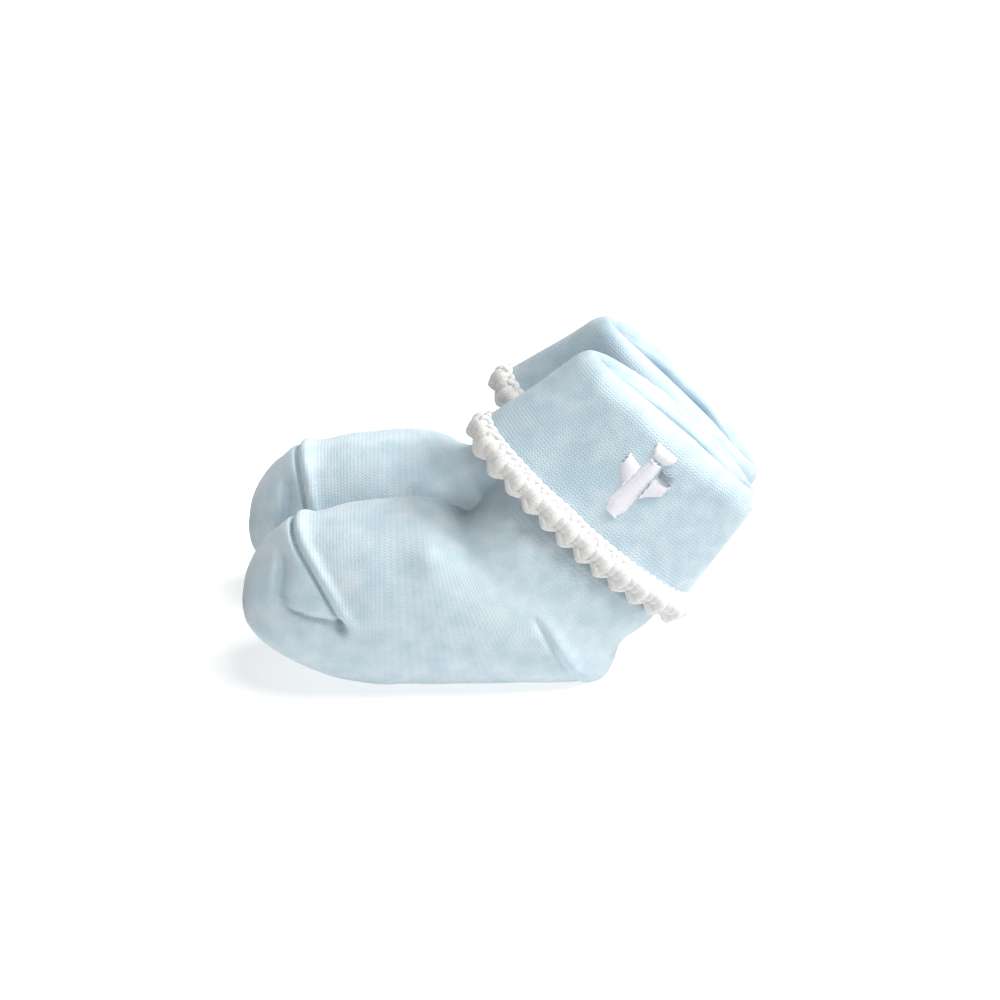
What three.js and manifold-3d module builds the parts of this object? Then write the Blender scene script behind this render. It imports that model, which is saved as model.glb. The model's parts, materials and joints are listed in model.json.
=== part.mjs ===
// A pair of knitted baby booties with turned-down cuffs, in millimetres, +Z up.
// Each bootie is one knitted tube, made here as the zones that it is knitted in: a toe cap closed by a
// linked seam, a foot, a heel pocket, an ankle, a leg, and a cuff that folds down over the leg and ends in a
// scalloped edging.
// The toes point along -X. The left bootie stands on the -Y side, and the right one mirrors it.

import * as THREE from "three";
import { mergeVertices } from "three/addons/utils/BufferGeometryUtils.js";
import Module from "manifold-3d";

const wasm = await Module();
wasm.setup();

// ---- Driving dimensions ----

const footLength = 93; // toe tip to the heel's lower corner
const footHeight = 46.8; // floor to the top of the instep
const footWidth = 36;
const toeTipHeight = 20.8; // floor to the toe's foremost point
const knitWall = 2.2; // the fabric's thickness
const soleDip = 1.6; // the sole is flat where its round section would reach this far below the floor
const seamGap = 0.3; // left between pieces that are knitted or sewn together

const legLength = 41.2; // ankle to the top of the fold, along the leg
const legWidth = 53.4; // front to back
const ankleThickness = 25; // side to side, where the leg begins
const legTopThickness = 11.6; // side to side, at the fold
const taperLength = 18.54; // ankle to where the leg has narrowed to that
const legRise = 52.8; // degrees from the floor up to the leg's line
const legSlope = 43.8; // degrees that the leg's sections fall towards the heel
const extraLeans = { left: 0, right: 4 }; // degrees that each leg lies further back

const ankleFromHeel = 9.8; // the ankle's centre, in front of the heel's corner
const ankleBelowInstep = 14;
const hingeBelowAnkle = 11; // the bending line, down the leg's line from the ankle's centre
const legEdge = 2; // where the leg's lower edge is, up the leg's line from the ankle's centre

const creaseBeforeAnkle = 27.7; // the instep's crease, where foot and leg meet, in front of the ankle
const creaseBelowInstep = 4.8;
const notchBehindHeel = 0.8; // the notch above the heel, where foot and leg meet
const notchHeight = 7.2;

const cuffDrop = 28; // top of the fold to the fabric's edge
const cuffThickness = 2;
const cuffStandoff = 3.8; // leg's face to the cuff's outer face, at the fold
const cuffFrontFlares = { left: 10, right: 6.5 }; // how much further the edge stands off, at the front
const cuffBackFlare = 1.6;
const cuffEdgeStandoff = 5; // leg's face to the cuff's outer face, at the edge's sides
const flareCurve = 1.2; // 1 is a straight flare, and more curves it out towards the edge
const cuffEdgeRise = 1; // the edge lies this much higher at the front
const cuffEdgeDrop = 2.8; // and this much lower at the back
const foldRadius = 3;
const foldThickness = 2.4; // of the fold, over the leg's top edge

const edgingRowHeight = 2.2; // the crocheted edging's first row
const edgingRowThickness = 3;
const scallopCount = 24;
const scallopHeight = 3.4; // at the middle of a lobe
const scallopValley = 1.8; // between two lobes
const scallopThickness = 2.7;

const toeSeamTop = 12.6; // toe tip to the seam, on the top
const toeSeamDrop = 4.2; // the instep's height less the seam's, there
const toeSeamEnd = 25; // toe tip to the seam's two ends, on the sides
const toeSeamEndHeight = 22.3;
const toeCapSole = 31; // toe tip to the toe cap's edge, under the sole
const toeSeamWidth = 1.2;
const toeSeamProud = 0.6;

const heelGoreReach = 17; // heel's corner to the gore's upper end
const heelGoreHeight = 20.5;
const heelGoreSole = 7.5; // heel's corner to the gore's end under the sole
const heelStrip = 3.5; // of the foot's knitting, between the heel pocket and the ankle

const elasticDiameter = 0.9;
const elasticPlaces = { lower_elastic: 6, upper_elastic: 10 }; // up the leg's line from the ankle's centre

const motifBelowFold = 3.2; // top of the fold to the stitched aeroplane's tail
const motifAboveEdge = 3.8; // its nose to the fabric's edge
const motifForward = 1.2; // how far its middle is in front of the leg's line
const motifTurn = -6.5; // degrees from the leg's line, positive towards the toe
const motifLength = cuffDrop - motifBelowFold - motifAboveEdge;
const motifSpan = 14;
const threadThickness = 0.7;
const backingInset = 0.9; // the patch's edge inside the motif's ends
const backingThickness = 0.5;

const ankleSpacing = 35.4; // between the two booties' ankles
const toeOut = 1.6; // degrees that each foot turns its toe outwards
const inwardAtAnkle = 1.6; // how far each leg leans to the other bootie
const inwardAtTop = 7.5;

// Fineness of the faces
const ringSides = 20;
const tubeSteps = 24;
const cuffSteps = 6;
const loopSteps = 28;
const stepsInLobe = 4;

const far = 400; // further than any piece reaches
const hollowStart = 0.06; // where the foot's hollow starts, as a share of the tube's sections
const overrun = 1; // how far a cut runs on past the edge that it cuts
const radians = THREE.MathUtils.degToRad;
const mix = THREE.MathUtils.lerp;
const vec = (x, z) => new THREE.Vector2(x, z);

// ---- Solids ----

// A closed three.js geometry as a solid.
function solidOf(geometry) {
  const bare = new THREE.BufferGeometry();
  bare.setAttribute("position", geometry.getAttribute("position"));
  if (geometry.index) bare.setIndex(geometry.index);
  const merged = mergeVertices(bare, 1e-4);
  return new wasm.Manifold(
    new wasm.Mesh({
      numProp: 3,
      vertProperties: merged.attributes.position.array,
      triVerts: new Uint32Array(merged.index.array),
    }),
  );
}

// A solid as a geometry, mirrored in the plane Y = 0 where asked.
function geometryOf(solid, mirrored) {
  const mesh = solid.getMesh();
  const geometry = new THREE.BufferGeometry();
  geometry.setAttribute("position", new THREE.BufferAttribute(mesh.vertProperties, 3));
  geometry.setIndex(new THREE.BufferAttribute(mirrored ? mesh.triVerts.toReversed() : mesh.triVerts, 1));
  if (mirrored) geometry.scale(1, -1, 1);
  const faceted = geometry.toNonIndexed();
  faceted.computeVertexNormals();
  return faceted;
}

// Moves every vertex of a geometry to place(vertex).
function shaped(geometry, place) {
  const position = geometry.getAttribute("position");
  const vertex = new THREE.Vector3();
  for (let i = 0; i < position.count; i++) {
    vertex.fromBufferAttribute(position, i);
    position.setXYZ(i, ...place(vertex).toArray());
  }
  return geometry;
}

// A prism across the whole bootie, from its outline in the XZ plane.
function prism(outline) {
  const extent = { depth: 2 * far, bevelEnabled: false };
  const geometry = new THREE.ExtrudeGeometry(new THREE.Shape(outline), extent);
  geometry.rotateX(Math.PI / 2);
  geometry.translate(0, far, 0);
  return solidOf(geometry);
}

// Everything to the left of the line from a to b, moved left by shift.
function leftOf(a, b, shift = 0) {
  const along = b.clone().sub(a).normalize();
  const left = vec(-along.y, along.x);
  const corner = (u, v) => a.clone().addScaledVector(along, u).addScaledVector(left, v);
  return prism([corner(-far, shift), corner(far, shift), corner(far, far), corner(-far, far)]);
}

// ---- The sections of one bootie ----

// A ring is one section of the bootie: its front or top point and its back or sole point in the XZ plane,
// its half width, its sideways shift, and how square it is, where 2 is an ellipse.
const footSquareness = 2.25;
const legSquareness = 2.5;

// The point of a ring at an angle: its front at 0, its -Y side at a quarter turn. reach is 1 on the ring.
function ringPoint(ring, angle, reach = 1) {
  const bend = (v) => Math.sign(v) * Math.abs(v) ** (2 / ring.square);
  const middle = ring.front.clone().add(ring.back).multiplyScalar(0.5);
  const arm = ring.front.clone().sub(middle).multiplyScalar(bend(Math.cos(angle)) * reach);
  const across = ring.shift - ring.half * bend(Math.sin(angle)) * reach;
  return new THREE.Vector3(middle.x + arm.x, across, middle.y + arm.y);
}

// The closed solid whose sections are ringAt(v), v from 0 at its toe end to 1 at its leg end.
function tube(ringAt, steps) {
  const geometry = new THREE.CylinderGeometry(1, 1, 1, ringSides, steps);
  const place = (p) =>
    ringPoint(ringAt(p.y + 0.5), Math.atan2(p.x, p.z), Math.min(1, Math.hypot(p.x, p.z)));
  return solidOf(shaped(geometry, place));
}

// A closed loop round the leg. place(angle, across, up) puts each point of its section, both from -1 to 1.
function loop(place, sectionSides, steps) {
  const geometry = new THREE.TorusGeometry(2, 1, sectionSides, steps);
  return solidOf(shaped(geometry, (p) => place(Math.atan2(p.y, p.x), Math.hypot(p.x, p.y) - 2, p.z)));
}

// One bootie's sections, with its toe tip at x = 0 and its ankle near y = 0.
function bootieSections(side) {
  const turn = -radians(extraLeans[side]);
  const hinge = vec(footLength - ankleFromHeel, footHeight - ankleBelowInstep);
  const upLeg = vec(Math.cos(radians(legRise)), Math.sin(radians(legRise)));
  hinge.addScaledVector(upLeg, -hingeBelowAnkle);
  upLeg.rotateAround(vec(0, 0), turn);
  const backLeg = vec(Math.cos(radians(legSlope)), -Math.sin(radians(legSlope)));
  backLeg.rotateAround(vec(0, 0), turn);
  const onLeg = (s, back = 0) =>
    hinge.clone().addScaledVector(upLeg, hingeBelowAnkle + s).addScaledVector(backLeg, back);

  // A ring of the leg, s up from the ankle, grown at its front, back and sides, and tilted.
  function legRing(s, frontOut, backOut = frontOut, sideOut = frontOut, frontUp = 0, backDown = 0) {
    const taper = Math.sin((Math.PI / 2) * THREE.MathUtils.clamp(s / taperLength, 0, 1));
    return {
      front: onLeg(s + frontUp, -legWidth / 2 - frontOut),
      back: onLeg(s - backDown, legWidth / 2 + backOut),
      half: mix(ankleThickness, legTopThickness, taper) / 2 + sideOut,
      shift: mix(inwardAtAnkle, inwardAtTop, s / legLength),
      square: legSquareness,
    };
  }

  // A ring of the cuff's outer face, grown all round by out.
  function cuffRing(s, out = 0) {
    const flare = Math.max(0, (legLength - s) / cuffDrop) ** flareCurve;
    const round = THREE.MathUtils.clamp((s - legLength + foldRadius) / foldRadius, 0, 1);
    const reach = cuffStandoff + out - foldRadius * (1 - Math.sqrt(1 - round ** 2));
    return legRing(
      s,
      reach + cuffFrontFlares[side] * flare,
      reach + cuffBackFlare * flare,
      reach + (cuffEdgeStandoff - cuffStandoff) * flare,
      cuffEdgeRise * flare,
      cuffEdgeDrop * flare,
    );
  }

  const crease = vec(footLength - ankleFromHeel - creaseBeforeAnkle, footHeight - creaseBelowInstep);
  const notch = vec(footLength + notchBehindHeel, notchHeight);
  const halfWidth = footWidth / 2;
  const ring = (front, back, width, inward = 0) => ({
    front: vec(...front),
    back: vec(...back),
    half: width * halfWidth,
    shift: inward * inwardAtAnkle - Math.tan(radians(toeOut)) * Math.max(0, hinge.x - front[0]),
    square: footSquareness,
  });
  const sole = -soleDip;
  const rings = [
    ring([0, toeTipHeight + 1.5], [0, toeTipHeight - 1.5], 0.11),
    ring([0.8, toeTipHeight + 6.5], [1.1, toeTipHeight - 5.1], 0.37),
    ring([3.2, footHeight - 14], [4.1, 12], 0.6),
    ring([7.6, footHeight - 8], [9.7, 7.5], 0.79),
    ring([toeSeamTop, footHeight - toeSeamDrop], [15.6, 4.2], 0.89),
    ring([toeSeamTop + 7, footHeight - 3.2], [22.4, 1.4], 0.95),
    ring([toeSeamTop + 14, footHeight - 1.5], [28.4, sole + 1], 0.985),
    ring([0.38 * footLength, footHeight - 0.2], [0.38 * footLength, sole], 1),
    ring([0.49 * footLength, footHeight], [0.56 * footLength, sole], 0.99),
    ring([crease.x - 4.6, crease.y + 2.4], [0.72 * footLength, sole], 0.965),
    ring([crease.x - 1.4, crease.y + 0.3], [footLength - 13, sole + 0.2], 0.925, 0.1),
    ring([crease.x + 0.4, crease.y + 0.2], [footLength - 2.6, sole + 0.5], 0.87, 0.25),
    ring([crease.x + 2.2, crease.y + 1.8], [notch.x - 0.6, notch.y - 4.6], 0.81, 0.5),
    ring([crease.x + 4.4, crease.y + 4.6], [notch.x + 1.6, notch.y + 1], 0.76, 0.75),
    ...[0, 0.25, 0.5, 0.75, 1, 1.25].map((share) => legRing(share * legLength, 0)),
  ];
  const rail = (end) => {
    const points = rings.map((r) => new THREE.Vector3(r[end].x, 0, r[end].y));
    return new THREE.CatmullRomCurve3(points, false, "centripetal");
  };
  const frontRail = rail("front");
  const backRail = rail("back");

  // A ring of the whole tube, v from 0 at the toe tip to 1 beyond the fold, shrunk all round by inset.
  function tubeRing(v, inset) {
    const place = v * (rings.length - 1);
    const [before, after] = [rings[Math.floor(place)], rings[Math.ceil(place)]];
    const mixed = (key) => mix(before[key], after[key], place % 1);
    const front = frontRail.getPoint(v);
    const back = backRail.getPoint(v);
    const inwards = back.clone().sub(front).setLength(inset);
    const atToe = inset * Math.max(0, 1 - front.x / toeSeamEnd);
    return {
      front: vec(front.x + inwards.x + atToe, front.z + inwards.z),
      back: vec(back.x - inwards.x + atToe, back.z - inwards.z),
      half: mixed("half") - inset,
      shift: mixed("shift"),
      square: mixed("square"),
    };
  }

  // Everything above the leg's section at s, moved up by shift, and the cuff's outer shape, grown by out.
  const aboveLeg = (s, shift = 0) => leftOf(onLeg(s), onLeg(s).add(backLeg), shift);
  const cuffSolid = (out) => {
    const place = (v) => mix(legLength - cuffDrop, legLength, Math.sin((v * Math.PI) / 2));
    return tube((v) => cuffRing(place(v), out), cuffSteps);
  };

  return { crease, notch, upLeg, onLeg, legRing, cuffRing, tubeRing, aboveLeg, cuffSolid };
}

// ---- The knitted zones ----

function knittedZones({ crease, notch, legRing, cuffRing, tubeRing, aboveLeg, cuffSolid }) {
  // The whole tube, cut flat at the height floor. The inner one starts where it is wide enough.
  const tubeAt = (inset, floor) => {
    const start = inset > 0 ? hollowStart : 0;
    const whole = tube((v) => tubeRing(mix(start, 1, v), inset), tubeSteps);
    return whole.subtract(leftOf(vec(far, floor), vec(-far, floor)));
  };
  const shell = tubeAt(0, 0).subtract(tubeAt(knitWall, knitWall));

  // Half the gap between two zones, and everything above the foot's edge, moved up by a shift.
  const half = seamGap / 2;
  const footEdge = [crease.clone().add(vec(-4.5, 3.1)), notch.clone().add(vec(2.3, 1.5))];
  const aboveFoot = (shift) => leftOf(footEdge[0], footEdge[1], shift);

  // The toe seam runs down from the instep to its two ends, and the toe cap's edge goes on to the sole.
  const seamTop = vec(toeSeamTop, footHeight - toeSeamDrop);
  const seamEnd = vec(toeSeamEnd, toeSeamEndHeight);
  const beyondTop = seamTop.clone().lerp(seamEnd, -1);
  const moved = (point, shift) => vec(point.x + shift, point.y);
  const toeSide = (shift) =>
    prism([
      moved(beyondTop, shift),
      vec(-far, far),
      vec(-far, -far),
      vec(toeCapSole + shift, -far),
      vec(toeCapSole + shift, 0),
      moved(seamEnd, shift),
    ]);
  const seamStrip = (width) =>
    prism([
      moved(beyondTop, -width / 2),
      moved(seamEnd, -width / 2),
      moved(seamEnd, width / 2),
      moved(beyondTop, width / 2),
    ]);
  const seamSkin = tubeAt(-toeSeamProud, 0).subtract(tubeAt(knitWall + toeSeamProud, knitWall));
  const seamGroove = seamStrip(toeSeamWidth + 2 * seamGap);

  // The heel pocket lies behind its gore line and below a strip of the foot.
  const goreTop = vec(footLength - heelGoreReach, heelGoreHeight);
  const goreSole = vec(footLength - heelGoreSole, 0);
  const heelSide = (shift) => leftOf(goreTop, goreSole, shift).subtract(aboveFoot(-heelStrip - shift));

  const footPart = shell.subtract(aboveFoot(-half));
  const legPart = shell.intersect(aboveLeg(legEdge, half));

  // The space under the cuff's flap and fold, and the mouth.
  const underCuff = (v) =>
    cuffRing(mix(legLength - cuffDrop - overrun, legLength - foldThickness, v), -cuffThickness);
  const throughFold = (v) => legLength + mix(-2 * foldThickness, foldThickness, v);
  const mouth = tube((v) => legRing(throughFold(v), -knitWall), 1);

  return {
    toe_cap: footPart.intersect(toeSide(-half)).subtract(seamGroove),
    toe_seam: seamSkin.intersect(seamStrip(toeSeamWidth)),
    foot: footPart.subtract(toeSide(half)).subtract(seamGroove).subtract(heelSide(-half)),
    heel_pocket: footPart.intersect(heelSide(half)),
    ankle: shell.intersect(aboveFoot(half)).subtract(aboveLeg(legEdge, -half)),
    leg: legPart.subtract(aboveLeg(legLength - foldThickness - seamGap)),
    cuff: cuffSolid(0).subtract(tube(underCuff, cuffSteps)).subtract(mouth),
  };
}

// ---- The elastic threads and the crocheted edging ----

function elastics({ legRing }) {
  const radius = elasticDiameter / 2;
  const thread = (s) =>
    loop(
      (angle, across, up) => {
        const out = radius * across - knitWall - seamGap - radius;
        return ringPoint(legRing(s + radius * up, out), angle);
      },
      4,
      ringSides,
    );
  return Object.fromEntries(Object.entries(elasticPlaces).map(([name, s]) => [name, thread(s)]));
}

function edging({ cuffRing }) {
  // A point beside the cuff's edge: down below it, and out from the middle of its thickness.
  const beside = (angle, down, out) =>
    ringPoint(cuffRing(legLength - cuffDrop - down, out - cuffThickness / 2), angle);
  const rowMiddle = seamGap + edgingRowHeight / 2;
  const scallopTop = 2 * seamGap + edgingRowHeight;
  const row = loop(
    (angle, across, up) =>
      beside(angle, rowMiddle - (up * edgingRowHeight) / 2, (across * edgingRowThickness) / 2),
    6,
    loopSteps,
  );
  const scallops = loop(
    (angle, across, up) => {
      const lobe = Math.abs(Math.sin((angle * scallopCount) / 2));
      const height = mix(scallopValley, scallopHeight, lobe);
      const thickness = scallopThickness * mix(0.75, 1, lobe);
      return beside(angle, scallopTop + (height * (1 - up)) / 2, (across * thickness) / 2);
    },
    5,
    scallopCount * stepsInLobe,
  );
  return { edging_row: row, scallops };
}

// ---- The stitched aeroplane and the backing behind it ----

// Outlines with the nose down: x to the back, y up the leg, in halves of the span and of the length.
const motifOutlines = {
  plane_body: [
    [-0.26, 0.62],
    [-0.4, -0.2],
    [-0.42, -0.7],
    [-0.24, -0.97],
    [0.24, -0.97],
    [0.42, -0.7],
    [0.4, -0.2],
    [0.26, 0.62],
  ],
  plane_upper_wing: [
    [-0.44, -0.3],
    [-0.98, 0.06],
    [-0.98, 0.4],
    [-0.36, 0.34],
  ],
  plane_lower_wing: [
    [0.44, -0.3],
    [0.36, 0.34],
    [0.98, 0.4],
    [0.98, 0.06],
  ],
  plane_tail: [
    [-0.26, 0.66],
    [0.26, 0.66],
    [0.46, 0.84],
    [0.44, 0.99],
    [-0.44, 0.99],
    [-0.46, 0.84],
  ],
  plane_wing_shade: [
    [0.36, 0.4],
    [0.98, 0.46],
    [0.88, 0.64],
    [0.33, 0.58],
  ],
};

function embroidery({ upLeg, onLeg, aboveLeg, cuffSolid }) {
  const middle = onLeg(legLength - motifBelowFold - motifLength / 2, -motifForward);
  const up = upLeg.clone().rotateAround(vec(0, 0), radians(motifTurn));

  // A shape drawn on the motif's own axes, extruded from the leg's middle to beyond the cuff's outer side.
  function stitched(shape) {
    const extent = { depth: far, bevelEnabled: false, curveSegments: 6 };
    const geometry = new THREE.ExtrudeGeometry(shape, extent);
    const axes = new THREE.Matrix4().makeBasis(
      new THREE.Vector3(up.y, 0, -up.x),
      new THREE.Vector3(up.x, 0, up.y),
      new THREE.Vector3(0, -1, 0),
    );
    geometry.applyMatrix4(axes.setPosition(middle.x, inwardAtTop, middle.y));
    return solidOf(geometry);
  }

  // The layer between two distances from the cuff's outer face, below the fold's rounding.
  const foldSide = aboveLeg(legLength - foldRadius / 2);
  const layer = (from, to) => cuffSolid(to).subtract(cuffSolid(from)).subtract(foldSide);
  const threads = layer(seamGap, seamGap + threadThickness);
  const behind = -cuffThickness - seamGap;
  const drawn = (outline) =>
    new THREE.Shape(outline.map(([x, y]) => vec((x * motifSpan) / 2, (y * motifLength) / 2)));
  const disc = new THREE.Shape().absarc(0, 0, motifLength / 2 - backingInset, 0, 2 * Math.PI);

  const pieces = { embroidery_backing: stitched(disc).intersect(layer(behind - backingThickness, behind)) };
  for (const [name, outline] of Object.entries(motifOutlines)) {
    pieces[name] = stitched(drawn(outline)).intersect(threads);
  }
  return pieces;
}

// ---- The pair ----

const finishes = {
  knit: { color: "#bcd0da", roughness: 0.95 },
  edging: { color: "#f4f5f2", roughness: 0.92 },
  thread: { color: "#eef0f5", roughness: 0.5 },
  shade: { color: "#8d949c", roughness: 0.5 },
  elastic: { color: "#dfe6ea", roughness: 0.7 },
  backing: { color: "#f3f3f0", roughness: 0.9 },
};
const finishOf = {
  edging_row: "edging",
  scallops: "edging",
  plane_body: "thread",
  plane_upper_wing: "thread",
  plane_lower_wing: "thread",
  plane_tail: "thread",
  plane_wing_shade: "shade",
  lower_elastic: "elastic",
  upper_elastic: "elastic",
  embroidery_backing: "backing",
};

function bootie(side) {
  const sections = bootieSections(side);
  const pieces = {
    ...knittedZones(sections),
    ...elastics(sections),
    ...edging(sections),
    ...embroidery(sections),
  };
  const group = new THREE.Group();
  for (const [name, solid] of Object.entries(pieces)) {
    const material = new THREE.MeshStandardMaterial({ metalness: 0, ...finishes[finishOf[name] ?? "knit"] });
    const mesh = new THREE.Mesh(geometryOf(solid, side === "right"), material);
    mesh.name = `${side}_${name}`;
    group.add(mesh);
  }
  group.position.y = ((side === "right" ? 1 : -1) * ankleSpacing) / 2;
  return group;
}

const pair = new THREE.Group();
pair.add(bootie("left"), bootie("right"));

// The origin is on the floor, under the middle of the pair.
const middle = new THREE.Box3().setFromObject(pair).getCenter(new THREE.Vector3());
pair.position.set(-middle.x, -middle.y, 0);

export default pair;
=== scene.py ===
import json
from math import atan2, cos, exp, hypot, pi, radians, sin, sqrt, tan

import bmesh
import bpy
from mathutils import Matrix, Vector, noise


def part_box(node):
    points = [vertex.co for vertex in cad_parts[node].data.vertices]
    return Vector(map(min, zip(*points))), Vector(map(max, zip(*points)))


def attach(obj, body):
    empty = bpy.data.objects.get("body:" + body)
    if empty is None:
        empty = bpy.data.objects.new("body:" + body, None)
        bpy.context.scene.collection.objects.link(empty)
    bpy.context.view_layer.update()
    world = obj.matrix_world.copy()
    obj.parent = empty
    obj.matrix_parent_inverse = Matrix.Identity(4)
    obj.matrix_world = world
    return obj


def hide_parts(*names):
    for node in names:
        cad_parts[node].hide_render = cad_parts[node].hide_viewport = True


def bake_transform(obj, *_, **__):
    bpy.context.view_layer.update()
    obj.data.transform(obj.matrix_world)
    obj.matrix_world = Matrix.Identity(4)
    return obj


# A pair of knitted baby booties with turned-down cuffs.
# Shapes are worked out in millimetres and placed in metres.

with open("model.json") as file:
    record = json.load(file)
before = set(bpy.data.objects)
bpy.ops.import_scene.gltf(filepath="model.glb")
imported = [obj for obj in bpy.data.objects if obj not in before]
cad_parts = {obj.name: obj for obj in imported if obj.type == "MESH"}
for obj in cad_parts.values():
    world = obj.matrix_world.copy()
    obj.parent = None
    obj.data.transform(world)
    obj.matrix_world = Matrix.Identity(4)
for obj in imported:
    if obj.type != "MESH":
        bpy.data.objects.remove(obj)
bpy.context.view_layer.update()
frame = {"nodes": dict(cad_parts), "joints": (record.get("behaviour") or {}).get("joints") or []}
scene = bpy.context.scene
mm = 0.001


def mix(a, b, t):
    return a + (b - a) * t


def clamp(x, low=0.0, high=1.0):
    return max(low, min(high, x))


def ease(start, end, x):  # 0 before start, 1 after end, smooth between
    t = clamp((x - start) / (end - start))
    return t * t * (3 - 2 * t)


def bell(x, width):  # 1 at x = 0, falling away over width
    return exp(-((x / width) ** 2))


def bend(value, power):  # a power that keeps the sign
    return abs(value) ** power * (1 if value >= 0 else -1)


def distanceToLine(point, line):  # in the side view, and how far along the line from 0 to 1
    start, end = Vector(line[0]), Vector(line[1])
    along = end - start
    share = clamp((point - start).dot(along) / along.length_squared)
    return (point - start - along * share).length, share


# Camera, light and floor. A light has a place in metres, a size in metres and a power in watts.
studio = {
    "lookAt": (-0.5, 0, 38.5),
    "elevation": 28,
    "lens": 200,
    "distance": 1405.6,
    "floorSize": 8,
    "floorColour": (0.55, 0.55, 0.55),
    "floorGlow": 0.62,
    "skyStrength": 0.26,
    "lights": {
        "key_light": ((1.25, 0.2, 1.1), 0.9, 34),
        "top_light": ((0.35, -0.3, 1.6), 0.7, 14),
    },
}


def setCamera():
    camera = bpy.data.objects.new("camera", bpy.data.cameras.new("camera"))
    scene.collection.objects.link(camera)
    camera.data.lens = studio["lens"]
    camera.data.clip_end = 20
    rise = radians(studio["elevation"])
    target = Vector(studio["lookAt"]) * mm
    camera.location = target + Vector((0, -cos(rise), sin(rise))) * studio["distance"] * mm
    camera.rotation_euler = (target - camera.location).to_track_quat("-Z", "Y").to_euler()
    scene.camera = camera


def setLight():
    world = bpy.data.worlds.new("studio")
    world.use_nodes = True
    background = world.node_tree.nodes["Background"]
    background.inputs["Color"].default_value = (1, 1, 1, 1)
    background.inputs["Strength"].default_value = studio["skyStrength"]
    scene.world = world
    for name, (place, size, energy) in studio["lights"].items():
        light = bpy.data.objects.new(name, bpy.data.lights.new(name, "AREA"))
        scene.collection.objects.link(light)
        light.data.shape = "DISK"
        light.data.size = size
        light.data.energy = energy
        light.location = place
        light.rotation_euler = (-light.location).to_track_quat("-Z", "Y").to_euler()
    scene.view_settings.view_transform = "Standard"


class Value:
    # A node's output that can be used in Python expressions.

    def __init__(self, finish, socket):
        self.finish = finish
        self.socket = socket

    def __add__(self, other):
        return self.finish.maths("ADD", self, other)

    def __radd__(self, other):
        return self.finish.maths("ADD", other, self)

    def __sub__(self, other):
        return self.finish.maths("SUBTRACT", self, other)

    def __rsub__(self, other):
        return self.finish.maths("SUBTRACT", other, self)

    def __mul__(self, other):
        return self.finish.maths("MULTIPLY", self, other)

    def __rmul__(self, other):
        return self.finish.maths("MULTIPLY", other, self)

    def __pow__(self, other):
        return self.finish.maths("POWER", self, other)

    def __abs__(self):
        return self.finish.maths("ABSOLUTE", self)

    def fraction(self):
        return self.finish.maths("FRACT", self)

    def wave(self):  # half a sine wave, from 0 to 1 to 0 over one unit
        return self.finish.maths("SINE", self * pi)

    def clamped(self):
        return self.finish.add("ShaderNodeClamp", None, {"Value": self}, "Result")


class Finish:
    # One material under construction: a Principled shader and what feeds it.

    def __init__(self, name, roughness, **shaderValues):
        self.material = bpy.data.materials.new(name)
        self.material.use_nodes = True
        self.nodes = self.material.node_tree.nodes
        self.links = self.material.node_tree.links
        self.shader = self.nodes["Principled BSDF"]
        self.shader.inputs["Roughness"].default_value = roughness
        for words, value in shaderValues.items():
            self.shader.inputs[words.replace("_", " ")].default_value = value

    def add(self, kind, settings=None, inputs=None, output=0):
        node = self.nodes.new(kind)
        for key, value in (settings or {}).items():
            setattr(node, key, value)
        for key, value in (inputs or {}).items():
            self.feed(node.inputs[key], value)
        return Value(self, node.outputs[output])

    def feed(self, socket, value):
        if isinstance(value, Value):
            self.links.new(value.socket, socket)
        else:
            socket.default_value = value

    def maths(self, operation, first, second=0.0):
        return self.add("ShaderNodeMath", {"operation": operation}, {0: first, 1: second})

    def blendColours(self, share, first, second):
        inputs = {"Factor": share, "A": first, "B": second}
        node = self.nodes.new("ShaderNodeMix")
        node.data_type = "RGBA"
        for socket in node.inputs:
            fits = socket.type == "RGBA" or socket.name == "Factor"
            if fits and socket.enabled and socket.name in inputs:
                self.feed(socket, inputs[socket.name])
        return Value(self, next(socket for socket in node.outputs if socket.type == "RGBA"))

    def uv(self, layer):
        coordinates = self.add("ShaderNodeUVMap", {"uv_map": layer})
        split = self.nodes.new("ShaderNodeSeparateXYZ")
        self.links.new(coordinates.socket, split.inputs[0])
        return Value(self, split.outputs[0]), Value(self, split.outputs[1])

    def objectPlace(self):
        return self.add("ShaderNodeTexCoord", output="Object")

    def noise(self, scale, detail):
        inputs = {"Vector": self.objectPlace(), "Scale": scale, "Detail": detail}
        return self.add("ShaderNodeTexNoise", None, inputs, "Fac")

    def relief(self, height, depth):  # depth in millimetres
        inputs = {"Strength": 1.0, "Distance": depth * mm, "Height": height}
        normal = self.add("ShaderNodeBump", None, inputs)
        self.links.new(normal.socket, self.shader.inputs["Normal"])

    def colour(self, value):
        self.feed(self.shader.inputs["Base Color"], value)


# The knitting's finish. Tones run from blue to pale blue; the loops' crests are painted lighter, and the gaps
# between stitches get painted shade towards the shade blue.
knitLook = {
    "blue": (0.545, 0.685, 0.765, 1),
    "paleBlue": (0.69, 0.79, 0.845, 1),
    # painted shade colour, for the gaps between stitches and the cuff's darker copy
    "paintedShadeBlue": (0.36, 0.515, 0.605, 1),
    "lean": 0.55,
    "legFullness": 0.7,
    "stitchDepth": 0.11,
    "fluffScale": 2400,
    "fluffRelief": 0.35,
    "mottleScale": 190,
    "baseTone": 0.25,
    # painted highlight on the loops' crests
    "paintedCrestLight": 0.18,
    "fluffTone": 0.2,
    # painted shade in the gaps between loops
    "gapShade": 0.16,
    "roughness": 0.92,
}


# shade is painted shade: it darkens the whole copy towards the shade blue
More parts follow.
